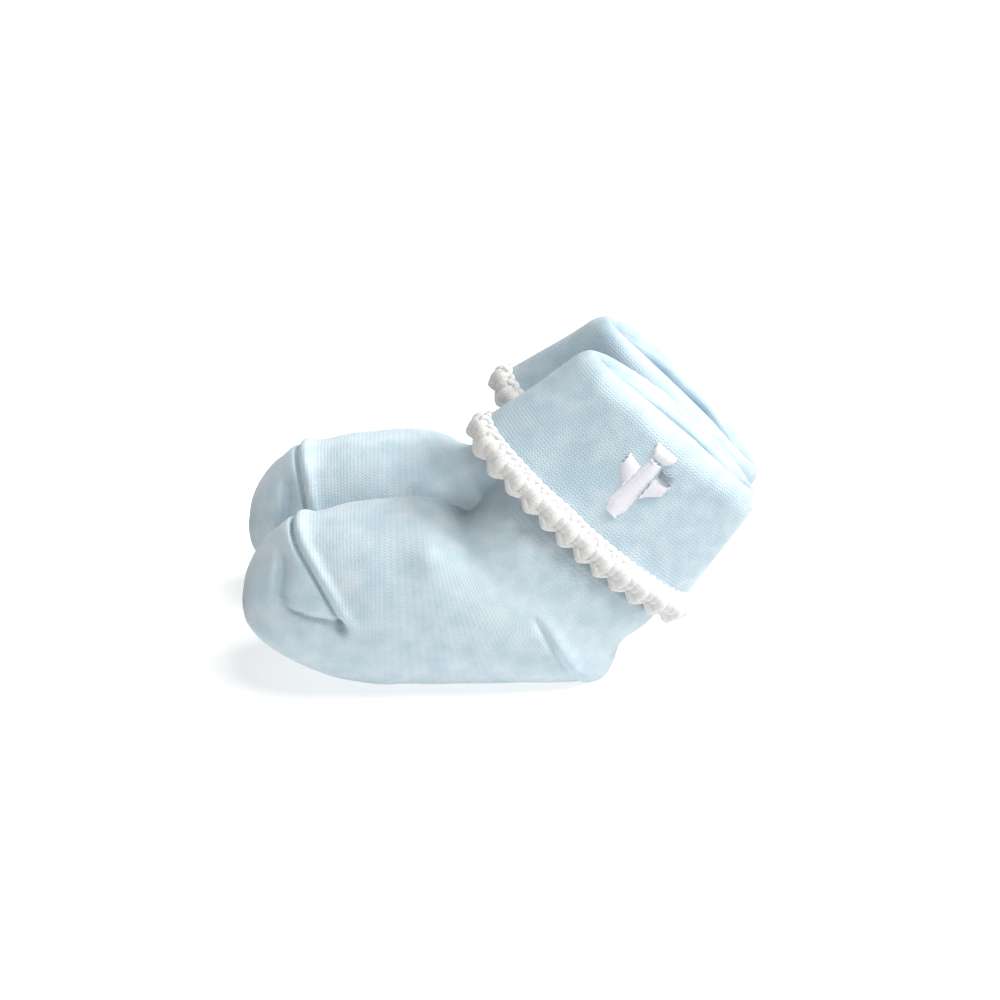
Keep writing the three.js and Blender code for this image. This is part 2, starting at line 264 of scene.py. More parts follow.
def knitFinish(name, shade, mottling):
    knit = Finish(name, knitLook["roughness"], Sheen_Weight=0.35, Sheen_Roughness=0.55)
    wale, course = knit.uv("stitches")
    side = abs(wale.fraction() - 0.5) * 2
    leg = (course - side * knitLook["lean"]).fraction().wave()
    stitch = leg ** knitLook["legFullness"] * (0.5 + side.wave() * 0.5)
    fluff = knit.noise(knitLook["fluffScale"], 3)
    mottle = (knit.noise(knitLook["mottleScale"], 5) - 0.5) * mottling
    # the loops' crests are painted lighter and the gaps between them carry painted shade
    tone = stitch * knitLook["paintedCrestLight"] + mottle + fluff * knitLook["fluffTone"] + knitLook["baseTone"]
    pale = knit.blendColours(tone.clamped(), knitLook["blue"], knitLook["paleBlue"])
    gap = (1 - stitch) * knitLook["gapShade"]
    knit.colour(knit.blendColours(gap + shade, pale, knitLook["paintedShadeBlue"]))
    knit.relief(stitch + fluff * knitLook["fluffRelief"], knitLook["stitchDepth"])
    return knit.material


# Yarns, threads and backing: roughness, sheen, a noise's scale and detail, its two shades, and its relief.
fibreLooks = {
    "linking_yarn": (0.9, {"Sheen_Weight": 0.3}, (2200, 2), (0.40, 0.53, 0.60), (0.54, 0.66, 0.72), 0.1),
    "white_cotton_yarn": (
        0.85,
        {"Sheen_Weight": 0.3, "Sheen_Roughness": 0.5},
        (1800, 3),
        (0.63, 0.63, 0.61),
        (0.77, 0.77, 0.755),
        0.25,
    ),
    "covered_elastic": (0.6, {}, (2600, 2), (0.62, 0.72, 0.78), (0.78, 0.84, 0.88), 0.15),
    "non_woven_backing": (0.95, {}, (900, 6), (0.78, 0.78, 0.76), (0.92, 0.92, 0.9), 0.2),
    "white_embroidery_thread": (
        0.42,
        {"Sheen_Weight": 0.15},
        (3000, 2),
        (0.80, 0.80, 0.86),
        (0.93, 0.93, 0.96),
        0.06,
    ),
    "grey_embroidery_thread": (
        0.42,
        {"Sheen_Weight": 0.15},
        (3000, 2),
        (0.24, 0.28, 0.33),
        (0.42, 0.47, 0.52),
        0.06,
    ),
}


def fibreFinish(name):
    roughness, sheen, (scale, detail), dark, light, depth = fibreLooks[name]
    fibre = Finish(name, roughness, **sheen)
    shades = fibre.noise(scale, detail)
    fibre.colour(fibre.blendColours(shades, (*dark, 1), (*light, 1)))
    fibre.relief(shades, depth)
    return fibre.material


def floorFinish():
    pale = Finish("pale_floor", 0.9, Emission_Color=(1, 1, 1, 1), Emission_Strength=studio["floorGlow"])
    pale.colour((*studio["floorColour"], 1))
    return pale.material


def layFloor():
    bm = bmesh.new()
    bmesh.ops.create_grid(bm, x_segments=1, y_segments=1, size=studio["floorSize"] / 2)
    mesh = bpy.data.meshes.new("floor")
    bm.to_mesh(mesh)
    bm.free()
    floor = bpy.data.objects.new("floor", mesh)
    scene.collection.objects.link(floor)
    floor.data.materials.append(floorFinish())


# The form of one bootie, in millimetres and degrees
form = {
    "footWidth": 36,
    "footSquareness": 2.25,
    "legSquareness": 2.5,
    "legLength": 41.2,
    "legWidth": 53.4,
    "ankleThickness": 25,
    "legTopThickness": 11.6,
    "taperLength": 18.54,
    "legRise": 52.8,
    "legSlope": 43.8,
    "hingeBelowAnkle": 11,
    "cuffDrop": 28,
    "cuffThickness": 2,
    "cuffStandoff": 3.8,
    "cuffFrontFlare": {"left": 8.8, "right": 5.6},
    "cuffBackFlare": 0.4,
    "cuffSideFlare": 2.2,
    "cuffEdgeSlant": -1.2,
    "cuffBackDrop": 2.8,
    "flareCurve": 1.2,
    "toeOut": 1.6,
    "inwardAtAnkle": 1.6,
    "inwardAtTop": 7.5,
    "wales": 150,
    "courseHeight": 0.74,
}

# Rings of the foot from the toe to the ankle: top and sole in the side view, width and inward lean as shares.
footRings = [
    ((-0.12, 20.9), (-0.12, 20.7), 0.01, 0),
    ((0, 22.3), (0, 19.3), 0.11, 0),
    ((0.8, 27.3), (1.1, 15.7), 0.37, 0),
    ((3.2, 32.8), (4.1, 12), 0.6, 0),
    ((7.6, 38.8), (9.7, 7.5), 0.79, 0),
    ((12.6, 42.6), (15.5, 3.8), 0.89, 0),
    ((19.6, 43.6), (22.2, 1.1), 0.95, 0),
    ((26.6, 45.3), (28.4, -0.6), 0.985, 0),
    ((35.3, 46.6), (35.3, -1.6), 1, 0),
    ((45.6, 46.8), (52.1, -1.6), 0.99, 0),
    ((50.9, 44.4), (67, -1.6), 0.965, 0),
    ((54.1, 42.3), (80, -1.4), 0.925, 0.1),
    ((55.9, 42.2), (90.4, -1.1), 0.87, 0.25),
    ((57.7, 43.8), (93.2, 2.6), 0.81, 0.5),
    ((59.9, 46.6), (95.4, 8.2), 0.76, 0.75),
]
# The toe seam's line: over the toes, down to its outer and inner ends, and on to the sole as the cap's edge
seamLine = {
    "top": (12.6, 42.6),
    "ends": {"left": (25, 25), "right": (25, 16)},
    "endHeight": 22.3,
    "atSole": 31,
    "bow": 0.9,
    "crossing": 1.4,
}


def splineThrough(values, spacing, place):
    # A smooth curve through a list of vectors or numbers, place counted in list steps.
    last = len(values) - 1
    before = min(int(place), last - 1)
    t = place - before
    second, third = values[before], values[before + 1]
    first = values[before - 1] if before > 0 else second * 2 - third
    fourth = values[before + 2] if before + 2 <= last else third * 2 - second
    gapBefore, gap, gapAfter = spacing(first, second), spacing(second, third), spacing(third, fourth)
    slope = (third - second) / gap
    start = ((second - first) / gapBefore - (third - first) / (gapBefore + gap) + slope) * gap
    end = (slope - (fourth - second) / (gap + gapAfter) + (fourth - third) / gapAfter) * gap
    curve = (third - second) * 3 - start * 2 - end
    twist = (second - third) * 2 + start + end
    return second + start * t + curve * t * t + twist * t**3


def centripetal(a, b):
    return max(1e-2, sqrt((b - a).length))


def even(a, b):
    return 1.0


class Bootie:
    # The measured form of one bootie, in its own millimetres: x back from the toe tip, -y to its outer side.

    def __init__(self, side, extraLean, foldCrowns):
        self.side = side
        self.crowns = foldCrowns
        self.foot = side + "_foot"
        self.leg = side + "_leg"
        joint = next(j for j in frame["joints"] if j["name"] == side + "_ankle_bend")
        hinge = Vector(joint["pos_m"]) / mm
        self.sign = -1 if side == "left" else 1
        self.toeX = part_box(side + "_toe_cap")[0].x / mm
        self.ankleY = abs(hinge.y)
        self.hinge = Vector((hinge.x - self.toeX, hinge.z))
        turn = Matrix.Rotation(-radians(extraLean), 2)
        rise, slope = radians(form["legRise"]), radians(form["legSlope"])
        self.upLeg = turn @ Vector((cos(rise), sin(rise)))
        self.backLeg = turn @ Vector((cos(slope), -sin(slope)))
        self.gatherRings()

    def gatherRings(self):
        half = form["footWidth"] / 2
        self.fronts, self.backs, self.halves, self.shifts, self.squares = [], [], [], [], []
        for front, back, width, inward in footRings:
            self.fronts.append(Vector(front))
            self.backs.append(Vector(back))
            self.halves.append(width * half)
            outTurn = tan(radians(form["toeOut"])) * max(0, self.hinge.x - front[0])
            self.shifts.append(inward * form["inwardAtAnkle"] - outTurn)
            self.squares.append(form["footSquareness"])
        for share in (0, 0.25, 0.5, 0.75, 1, 1.25):
            ring = self.legRing(share * form["legLength"], 0, 0, 0)
            for kept, value in zip((self.fronts, self.backs, self.halves, self.shifts, self.squares), ring):
                kept.append(value)
        self.lastRing = len(self.fronts) - 1

    def onLeg(self, s, back=0.0):
        return self.hinge + self.upLeg * (form["hingeBelowAnkle"] + s) + self.backLeg * back

    def legRing(self, s, frontOut, backOut, sideOut, frontUp=0.0, backDown=0.0):
        taper = sin(pi / 2 * clamp(s / form["taperLength"]))
        half = mix(form["ankleThickness"], form["legTopThickness"], taper) / 2 + sideOut
        shift = mix(form["inwardAtAnkle"], form["inwardAtTop"], s / form["legLength"])
        front = self.onLeg(s + frontUp, -form["legWidth"] / 2 - frontOut)
        back = self.onLeg(s - backDown, form["legWidth"] / 2 + backOut)
        return front, back, half, shift, form["legSquareness"]

    def cuffRing(self, s):  # the flap's outer face
        flare = max(0, (form["legLength"] - s) / form["cuffDrop"]) ** form["flareCurve"]
        reach = form["cuffStandoff"]
        return self.legRing(
            s,
            reach + form["cuffFrontFlare"][self.side] * flare,
            reach + form["cuffBackFlare"] * flare,
            reach + form["cuffSideFlare"] * flare,
            form["cuffEdgeSlant"] * flare,
            form["cuffBackDrop"] * flare,
        )

    def tubeRing(self, place):
        return (
            splineThrough(self.fronts, centripetal, place),
            splineThrough(self.backs, centripetal, place),
            max(0.05, splineThrough(self.halves, even, place)),
            splineThrough(self.shifts, even, place),
            splineThrough(self.squares, even, place),
        )

    def ringPoint(self, ring, angle, out=0.0):  # front at 0, outer side at a quarter turn
        front, back, half, shift, square = ring
        power = 2 / square
        middle = (front + back) / 2
        arm = front - middle
        arm = arm * (1 + out / max(arm.length, 0.5)) * bend(cos(angle), power)
        return Vector((middle.x + arm.x, shift - (half + out) * bend(sin(angle), power), middle.y + arm.y))

    def placed(self, point):  # from the bootie's own millimetres to the frame's metres
        across = self.sign * (self.ankleY - point.y)
        return Vector(((self.toeX + point.x) * mm, across * mm, point.z * mm))


# The knitted tube's grid and the depths of its dips and swells
knitting = {
    "around": 176,
    "toeRows": 58,
    "sockRows": 176,
    "thickness": 1.4,
    "seamDepth": 1.5,
    "seamWidth": 0.75,
    "lipHeight": 0.75,
    "puckerDepth": 2.4,
    "dimpleDepth": 3.0,
    "creaseDepth": 2.2,
    "goreDepth": 0.7,
    "instepFold": 0.6,
    "instepFullness": 1.8,
    "toeFullness": 0.8,
    "heelFullness": 0.5,
    "softness": 0.35,
    "softnessScale": 0.11,
    "toeCrowding": 1.25,
    "legCrowding": 1.12,
    "topLeftOff": 1.2,
    "sharpAngle": 55,
    "noiseShift": {"left": 0, "right": 90},
}
# Lines in the side view: those along which the knit dips or swells, and the borders between zones.
sideLines = {
    "dimple": ((10.6, 38), (10.2, 28.5)),
    "toeCrease": ((8, 26.5), (24, 22.6)),
    "goreDip": ((74.5, 20.5), (84.5, 0)),
    "instepFold": ((56, 44), (71, 44)),
    "instepFullness": ((48, 38.5), (69, 38.5)),
    "footEdge": ((51, 45.1), (96.1, 8.7)),
    "goreEdge": ((76, 20.5), (85.5, 0)),
}
heelStrip = 3.5  # how much of the foot lies between the heel pocket and the ankle
ankleTop = 2  # how far up the leg the ankle reaches


def seamX(bootie, point):  # where the toe cap's edge is at a point's height
    outer, inner = seamLine["ends"][bootie.side]
    topX, topZ = seamLine["top"]
    endHeight = seamLine["endHeight"]
    across = clamp(0.5 - (point.y - bootie.shifts[6]) / form["footWidth"] * seamLine["crossing"])
    end = mix(inner, outer, across)
    if point.z > endHeight:
        share = (topZ - point.z) / (topZ - endHeight)
        return mix(topX, end, share) + seamLine["bow"] * sin(pi * clamp(share))
    return mix(end, seamLine["atSole"], ease(0, endHeight, endHeight - point.z))


def toeEdge(bootie, angle):  # the place along the tube where the toe cap ends, at this angle
    low, high = 3.0, 9.0
    for halving in range(26):
        place = (low + high) / 2
        point = bootie.ringPoint(bootie.tubeRing(place), angle)
        if point.x < seamX(bootie, point):
            low = place
        else:
            high = place
    return (low + high) / 2


def sideRelief(point, outside):
    # How far the knit stands out from its plain form, at a point in the side view.
    flat = Vector((point.x, point.z))
    side = 1.0 if outside else 0.8
    out = 0.0
    # toe cap: a hollow with a crease below it that runs back to the seam's end
    distance, share = distanceToLine(flat, sideLines["dimple"])
    out -= knitting["dimpleDepth"] * (bell(distance, 1.5) + 0.6 * bell(distance, 4.2)) * side
    distance, share = distanceToLine(flat, sideLines["toeCrease"])
    out -= knitting["creaseDepth"] * bell(distance, 1.2) * (0.5 + 0.5 * share) * side
    out += knitting["toeFullness"] * bell(flat.y - 17, 5) * bell(flat.x - 13, 10)
    # heel: the gore's line, and a rounded heel behind it
    distance, share = distanceToLine(flat, sideLines["goreDip"])
    out -= knitting["goreDepth"] * bell(distance, 0.9)
    top, sole = sideLines["goreDip"]
    behind = flat.x > mix(top[0], sole[0], share)
    return out + (knitting["heelFullness"] * bell(distance - 2.2, 1.6) if behind else 0)


def instepRelief(point):
    # The fold where the foot's top meets the leg, and the fullness below it.
    flat = Vector((point.x, point.z))
    distance, share = distanceToLine(flat, sideLines["instepFold"])
    fold = -knitting["instepFold"] * bell(distance, 2.0) * (1 - 0.4 * share)
    full, share = distanceToLine(flat, sideLines["instepFullness"])
    return fold + knitting["instepFullness"] * bell(full, 4.6)


def knitPoint(bootie, place, angle, seamDistance):
    ring = bootie.tubeRing(place)
    point = bootie.ringPoint(ring, angle)
    outside = sin(angle) > 0
    sideways = abs(sin(angle)) ** 0.7
    out = sideRelief(point, outside) * sideways + instepRelief(point) * sideways
    endHeight = seamLine["endHeight"]
    onSeam = ease(endHeight - 3.5, endHeight + 0.5, point.z)
    out -= knitting["seamDepth"] * bell(seamDistance, knitting["seamWidth"]) * onSeam
    out += knitting["lipHeight"] * bell(seamDistance - 2.2, 1.7) * onSeam
    outer, inner = seamLine["ends"][bootie.side]
    pucker = Vector(((outer if outside else inner) + 0.4, endHeight - 0.6))
    out -= knitting["puckerDepth"] * bell((Vector((point.x, point.z)) - pucker).length, 1.8) * sideways
    noisePlace = Vector((point.x, point.y + knitting["noiseShift"][bootie.side], point.z))
    wander = noise.noise(noisePlace * knitting["softnessScale"])
    out += knitting["softness"] * wander * ease(0, 6, point.x)
    point = bootie.ringPoint(ring, angle, out)
    point.z = max(0.0, point.z)
    return point


def wholeTube(bootie):
    # The toe cap's rows, then the sock's, as one grid that is closed round the tube.
    around, toeRows, sockRows = knitting["around"], knitting["toeRows"], knitting["sockRows"]
    rows = toeRows + sockRows
    bm = bmesh.new()
    bmesh.ops.create_grid(bm, x_segments=around, y_segments=rows, size=0.5)
    column = {c: toeEdge(bootie, 2 * pi * (c % around) / around + pi) for c in range(around + 1)}
    stitches = bm.loops.layers.uv.new("stitches")
    gridPlace = {}
    for vertex in bm.verts:
        c, r = round((vertex.co.x + 0.5) * around), round((vertex.co.y + 0.5) * rows)
        angle = 2 * pi * (c % around) / around + pi
        edge = column[c]
        if r <= toeRows:
            share = r / toeRows
            place = edge * (1 - (1 - share) ** knitting["toeCrowding"])
        else:
            share = (r - toeRows) / sockRows
            place = mix(edge, bootie.lastRing - knitting["topLeftOff"], share ** knitting["legCrowding"])
        plain = bootie.ringPoint(bootie.tubeRing(place), angle)
        seamDistance = plain.x - seamX(bootie, plain)
        point = knitPoint(bootie, place, angle, seamDistance)
        gridPlace[vertex] = (c / around * form["wales"], courseOf(place))
        vertex.co = bootie.placed(point)
    for face in bm.faces:
        for loop in face.loops:
            loop[stitches].uv = gridPlace[loop.vert]
    bmesh.ops.remove_doubles(bm, verts=bm.verts[:], dist=1e-6)
    bmesh.ops.recalc_face_normals(bm, faces=bm.faces[:])
    return bm


def courseOf(place):  # which course of knitting a place along the tube is in
    closerFrom, spacing, closerSpacing = 8, 6.2, 5.1  # the rings stand closer from this one on
    if place < closerFrom:
        return place * spacing / form["courseHeight"]
    return (closerFrom * spacing + (place - closerFrom) * closerSpacing) / form["courseHeight"]


def pieceOf(bootie, bm, name, material):
    mesh = bpy.data.meshes.new(bootie.side + "_" + name)
    bm.to_mesh(mesh)
    bm.free()
    mesh.shade_smooth()
    mesh.set_sharp_from_angle(angle=radians(knitting["sharpAngle"]))  # so that zones join without a line
    mesh.materials.append(material)
    piece = bpy.data.objects.new(bootie.side + "_" + name, mesh)
    scene.collection.objects.link(piece)
    return piece


def zoneLines(bootie):
    # The borders between zones in the side view: a point on each and the direction that is beyond it.
    footFront, footBack = (Vector(end) for end in sideLines["footEdge"])
    along = (footBack - footFront).normalized()
    beyondFoot = Vector((-along.y, along.x))
    back = bootie.backLeg
    goreTop, goreSole = (Vector(end) for end in sideLines["goreEdge"])
    gore = (goreSole - goreTop).normalized()
    return {
        "ankle": (footFront, beyondFoot),
        "leg": (bootie.onLeg(ankleTop), Vector((-back.y, back.x))),
        "heelGore": (goreTop, Vector((-gore.y, gore.x))),
        "heelStrip": (footFront - beyondFoot * heelStrip, beyondFoot),
    }


def knitTube(bootie, finishes):
    bm = wholeTube(bootie)
    lines = zoneLines(bootie)
    placedLines = {}
    for zone, (point, beyond) in lines.items():
        origin = bootie.placed(Vector((point.x, 0, point.y)))
        normal = Vector((beyond.x, 0, beyond.y))
        placedLines[zone] = (origin, normal)
        geometry = bm.verts[:] + bm.edges[:] + bm.faces[:]
        bmesh.ops.bisect_plane(bm, geom=geometry, dist=1e-7, plane_co=origin, plane_no=normal)

    def beyond(zone, place):
        origin, normal = placedLines[zone]
        return (place - origin).dot(normal) > 0

    def zoneOf(face):
        place = face.calc_center_median()
        if beyond("leg", place):
            return "leg"
        if beyond("ankle", place):
            return "ankle"
        if beyond("heelGore", place) and not beyond("heelStrip", place):
            return "heel_pocket"
        local = Vector((place.x / mm - bootie.toeX, bootie.ankleY - abs(place.y) / mm, place.z / mm))
        return "toe_cap" if local.x < seamX(bootie, local) else "foot"

    zones = [zoneOf(face) for face in bm.faces]
    pieces = {}
    for zone in ("toe_cap", "foot", "heel_pocket", "ankle", "leg"):
        part = bm.copy()
        part.faces.ensure_lookup_table()
        others = [part.faces[i] for i, name in enumerate(zones) if name != zone]
        bmesh.ops.delete(part, geom=others, context="FACES")
        bmesh.ops.solidify(part, geom=part.faces[:], thickness=knitting["thickness"] * mm)
        piece = pieceOf(bootie, part, "knitted_" + zone, finishes["knit"])
        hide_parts(bootie.side + "_" + zone)
        pieces[zone] = piece
    bm.free()
    for zone in ("toe_cap", "foot", "heel_pocket"):
        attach(pieces[zone], bootie.foot)
    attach(pieces["leg"], bootie.leg)
    across = (lines["ankle"][1] + lines["leg"][1]).normalized()
    halfLeg = form["legWidth"] / 2
    low = max(Vector(end).dot(across) for end in sideLines["footEdge"])
    high = min(bootie.onLeg(ankleTop, back).dot(across) for back in (-halfLeg, halfLeg))
    start = across * low
    end = across * high
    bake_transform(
        pieces["ankle"],
        bootie.foot,
        bootie.leg,
        start=bootie.placed(Vector((start.x, bootie.ankleY, start.y))),
        end=bootie.placed(Vector((end.x, bootie.ankleY, end.y))),
    )


# The turned-down cuff, in millimetres
cuff = {
    "around": 200,
    "squareness": 2.15,
    "foldRadius": 5,
    "foldEndRadius": 2.2,
    "slitHalf": 0.12,
    "slitEnds": 4.5,
    "slitDepth": 9,
    "lipRadius": 1.7,
    "lipDip": 0.9,
    "flapRows": 46,
    "rollRows": 12,
    "topRows": 8,
    "lipRows": 8,
    "edgeRounding": 0.25,
    "liningInset": 2.4,
    "liningTop": 4.2,
    "underFold": 2.6,
    "flapInsideTop": 6,
    "unevenness": 0.5,
    "unevennessScale": 0.09,
    "noiseShift": {"left": 0, "right": 60},
}


def cuffProfile():
    # The cuff's section from the flap's edge up its outer face, over the fold, down into the mouth and back
    # inside: how far up the leg, how far out at front and back, and how far out at the sides.
    top, radius, stand = form["legLength"], cuff["foldRadius"], form["cuffStandoff"]
    edge = top - form["cuffDrop"]
    wall = form["cuffThickness"]
    rounded = edge - cuff["edgeRounding"]
    section = [(edge, -wall / 2, -wall / 2), (rounded, -wall / 4, -wall / 4)]
    rows = cuff["flapRows"]
    section += [(mix(edge, top - radius, i / rows), 0, 0) for i in range(rows + 1)]
    for i in range(1, cuff["rollRows"] + 1):
        turn = pi / 2 * i / cuff["rollRows"]
        over = 1 - cos(turn)
        section.append((top - radius + radius * sin(turn), -cuff["foldEndRadius"] * over, -radius * over))
    inside = -stand - form["legTopThickness"] / 2 + cuff["slitHalf"]
    lip = cuff["lipRadius"]
    inEnds = -stand - cuff["slitEnds"]
    for i in range(1, cuff["topRows"] + 1):
        share = i / cuff["topRows"]
        dip = cuff["lipDip"] * share * share
        endways = mix(-cuff["foldEndRadius"], inEnds + lip, share)
        section.append((top - dip, endways, mix(-radius, inside + lip, share)))
    for i in range(1, cuff["lipRows"] + 1):
        turn = pi / 2 * i / cuff["lipRows"]
        over = lip * (1 - sin(turn))
        section.append((top - cuff["lipDip"] - lip * (1 - cos(turn)), inEnds + over, inside + over))
    low = top - cuff["lipDip"] - lip
    depth = cuff["slitDepth"]
    section += [(low - depth * share, inEnds, inside + 2.2 * share) for share in (0.3, 0.65, 1)]
    lining = -stand - cuff["liningInset"]
    section += [(low - depth - 0.5, lining, lining), (top - cuff["liningTop"], lining, lining)]
    section += [(top - cuff["underFold"], -cuff["liningInset"], -cuff["liningInset"])]
    insideTop = top - cuff["flapInsideTop"]
    section += [(mix(insideTop, edge, share / 5), -wall, -wall) for share in range(6)]
    section += [(rounded, -0.8 * wall, -0.8 * wall)]
    return section


def cuffPoint(bootie, s, endways, sideways, angle):
    top = form["legLength"]
    front, back, half, shift, square = bootie.cuffRing(s)
    along = (back - front).normalized()
    front, back, half = front - along * endways, back + along * endways, max(0.1, half + sideways)
    point = bootie.ringPoint((front, back, half, shift, cuff["squareness"]), angle)
    # the fold is crowned, differently on its outer and inner side, and the flap is softly uneven
    outer, inner = bootie.crowns
    crown = mix(inner, outer, ease(-0.7, 0.7, sin(angle)))
    lift = crown * sin(angle) ** 2 * ease(top - form["cuffDrop"], top, s)
    noisePlace = Vector((point.x, point.y + cuff["noiseShift"][bootie.side], point.z))
    wander = cuff["unevenness"] * noise.noise(noisePlace * cuff["unevennessScale"])
    point += Vector((bootie.upLeg.x, 0, bootie.upLeg.y)) * (lift + wander)
    point.y -= wander * sin(angle)
    return point


def makeCuff(bootie, finishes):
    section = cuffProfile()
    around, rows = cuff["around"], len(section)
    bm = bmesh.new()
    bmesh.ops.create_grid(bm, x_segments=around, y_segments=rows, size=0.5)
    stitches = bm.loops.layers.uv.new("stitches")
    gridPlace = {}
    run = 0.0
    courses = [0.0]
    for i in range(1, rows + 1):
        a, b = section[i - 1], section[i % rows]
        run += hypot(b[0] - a[0], b[2] - a[2])
        courses.append(run / form["courseHeight"])
    for vertex in bm.verts:
        c, r = round((vertex.co.x + 0.5) * around), round((vertex.co.y + 0.5) * rows)
        angle = 2 * pi * (c % around) / around + pi
        s, endways, sideways = section[r % rows]
        gridPlace[vertex] = (c / around * form["wales"], courses[r])
        vertex.co = bootie.placed(cuffPoint(bootie, s, endways, sideways, angle))
    for face in bm.faces:
        for loop in face.loops:
            loop[stitches].uv = gridPlace[loop.vert]
    bmesh.ops.remove_doubles(bm, verts=bm.verts[:], dist=1e-6)
    bmesh.ops.recalc_face_normals(bm, faces=bm.faces[:])
    piece = pieceOf(bootie, bm, "folded_cuff", finishes["cuffKnit"])
    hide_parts(bootie.side + "_cuff")
    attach(piece, bootie.leg)


def layStrands(bootie, name, paths, radius, sides, finish, smoothness):
    # Each path is a list of points in the bootie's millimetres, each with a share of the radius.
    curve = bpy.data.curves.new(bootie.side + "_" + name, "CURVE")
    curve.dimensions = "3D"
    curve.bevel_depth = radius * mm
    curve.bevel_resolution = max(0, sides // 2 - 2)
    curve.resolution_u = smoothness
    curve.use_fill_caps = True
    for path, closed in paths:
        spline = curve.splines.new("NURBS")
        spline.points.add(len(path) - 1)
        for knot, (point, share) in zip(spline.points, path):
            knot.co = (*bootie.placed(point), 1)
            knot.radius = share
        spline.order_u = 4
        spline.use_endpoint_u = not closed
        spline.use_cyclic_u = closed
    shape = bpy.data.objects.new("strands", curve)
    scene.collection.objects.link(shape)
    mesh = bpy.data.meshes.new_from_object(shape.evaluated_get(bpy.context.evaluated_depsgraph_get()))
    bpy.data.objects.remove(shape)
    mesh.name = bootie.side + "_" + name
    mesh.shade_smooth()
    mesh.materials.clear()
    mesh.materials.append(finish)
    piece = bpy.data.objects.new(mesh.name, mesh)
    scene.collection.objects.link(piece)
    return piece


# The crocheted edging, in millimetres
edging = {
    "scallops": 26,
    "postsInScallop": 3,
    "rowDown": 0.9,
    "rowRadius": 1.25,
    "rowPitch": 4.6,
    "rowTwist": 0.55,
    "rowOut": 0.35,
    "postRadius": 1.85,
    "peakDown": 5.9,
    "valleyDown": 4.8,
    "fan": 0.5,
    "rimRadius": 1.1,
    "whipSpacing": 4.6,
    "whipTop": 0.6,
    "backKick": 0.3,
    "backRise": 0.12,
    "backSwell": 0.42,
}


class CuffEdge:
    # The flap's edge, walked by length.

    def __init__(self, bootie):
        self.bootie = bootie
        self.steps = 720
        self.lengths = [0.0]
        before = self.at(0, 0, 0)
        for i in range(1, self.steps + 1):
            point = self.at(2 * pi * i / self.steps, 0, 0)
            self.lengths.append(self.lengths[-1] + (point - before).length)
            before = point
        self.length = self.lengths[-1]

    def at(self, angle, down, out):
        atBack = self.atBack(angle)
        s = form["legLength"] - form["cuffDrop"] - down * (1 - edging["backRise"] * atBack)
        reach = out - form["cuffThickness"] / 2
        kick = edging["backKick"] * max(0, down) * atBack
        return cuffPoint(self.bootie, s, reach + kick, reach, angle)

    def atBack(self, angle):  # 1 at the very back of the leg
        return clamp(-cos(angle)) ** 2

    def swell(self, length):  # the yarn is fuller where it goes round the back
        return 1 + edging["backSwell"] * self.atBack(self.angle(length))

    def angle(self, length):
        length %= self.length
        low, high = 0, self.steps
        while high - low > 1:
            middle = (low + high) // 2
            if self.lengths[middle] <= length:
                low = middle
            else:
                high = middle
        share = (length - self.lengths[low]) / (self.lengths[high] - self.lengths[low])
        return 2 * pi * (low + share) / self.steps

    def point(self, length, down, out):
        return self.at(self.angle(length), down, out)


def crochetRow(bootie, edge):
    # Two strands laid round each other along the edge, with short stitches that hold them to the knitting.
    paths = []
    turns = round(edge.length / edging["rowPitch"])
    steps = turns * 6
    for strand in (0, 1):
        path = []
        for i in range(steps):
            turn = 2 * pi * (i / 6 + strand / 2)
            length = edge.length * i / steps
            down = edging["rowDown"] + edging["rowTwist"] * cos(turn)
            out = edging["rowOut"] + edging["rowTwist"] * sin(turn)
            path.append((edge.point(length, down, out), edge.swell(length)))
        paths.append((path, True))
    whips = round(edge.length / edging["whipSpacing"])
    for i in range(whips):
        length = edge.length * i / whips
        sway = 0.25 * noise.noise(Vector((length, bootie.sign * 9.0, 0.5)))
        top = edging["whipTop"] + sway
        loop = [(top, 0.4), (top + 0.2, 1.3), (1.0, 1.9), (1.8, 1.6), (2.4, 0.8)]
        path = [(edge.point(length + 0.22 * k, down, out), 0.8) for k, (down, out) in enumerate(loop)]
        paths.append((path, False))
    return paths


def shellStitches(bootie, edge):
    # Each scallop is a fan of puffy posts from one stitch of the row, with a rim of yarn over their ends.
    paths = []
    pitch = edge.length / edging["scallops"]
    posts = edging["postsInScallop"]
    for lobe in range(edging["scallops"]):
        middle = pitch * lobe
        tops = []
        for k in range(posts):
            across = 2 * k / (posts - 1) - 1
            jitter = 0.3 * noise.noise(Vector((lobe * 3.7 + k, bootie.sign * 5.0, 2.5)))
            peak = mix(edging["peakDown"], edging["valleyDown"], abs(across) ** 1.7) + jitter
            root = middle + across * pitch * 0.3
            tip = middle + across * pitch * edging["fan"] * 0.72
            path = []
            for i in range(6):
                t = i / 5
                out = 0.35 + 0.7 * sin(pi * t) + 0.25 * jitter
                size = (0.8 + 0.35 * sin(pi * t)) * edge.swell(root)
                path.append((edge.point(mix(root, tip, t), mix(1.1, peak - 0.5, t), out), size))
            paths.append((path, False))
            tops.append((tip, peak))
        rim = [(middle - pitch * 0.5, 2.2, -0.2, 0.9)]
        for tip, peak in tops:
            rim += [(tip - pitch * 0.07, peak, 0.75, 1.1), (tip + pitch * 0.07, peak + 0.1, 0.1, 1.0)]
        rim.append((middle + pitch * 0.5, 2.2, -0.2, 0.9))
        share = edging["rimRadius"] / edging["postRadius"] * edge.swell(middle)
        path = [(edge.point(length, down, out), size * share) for length, down, out, size in rim]
        paths.append((path, False))
    return paths


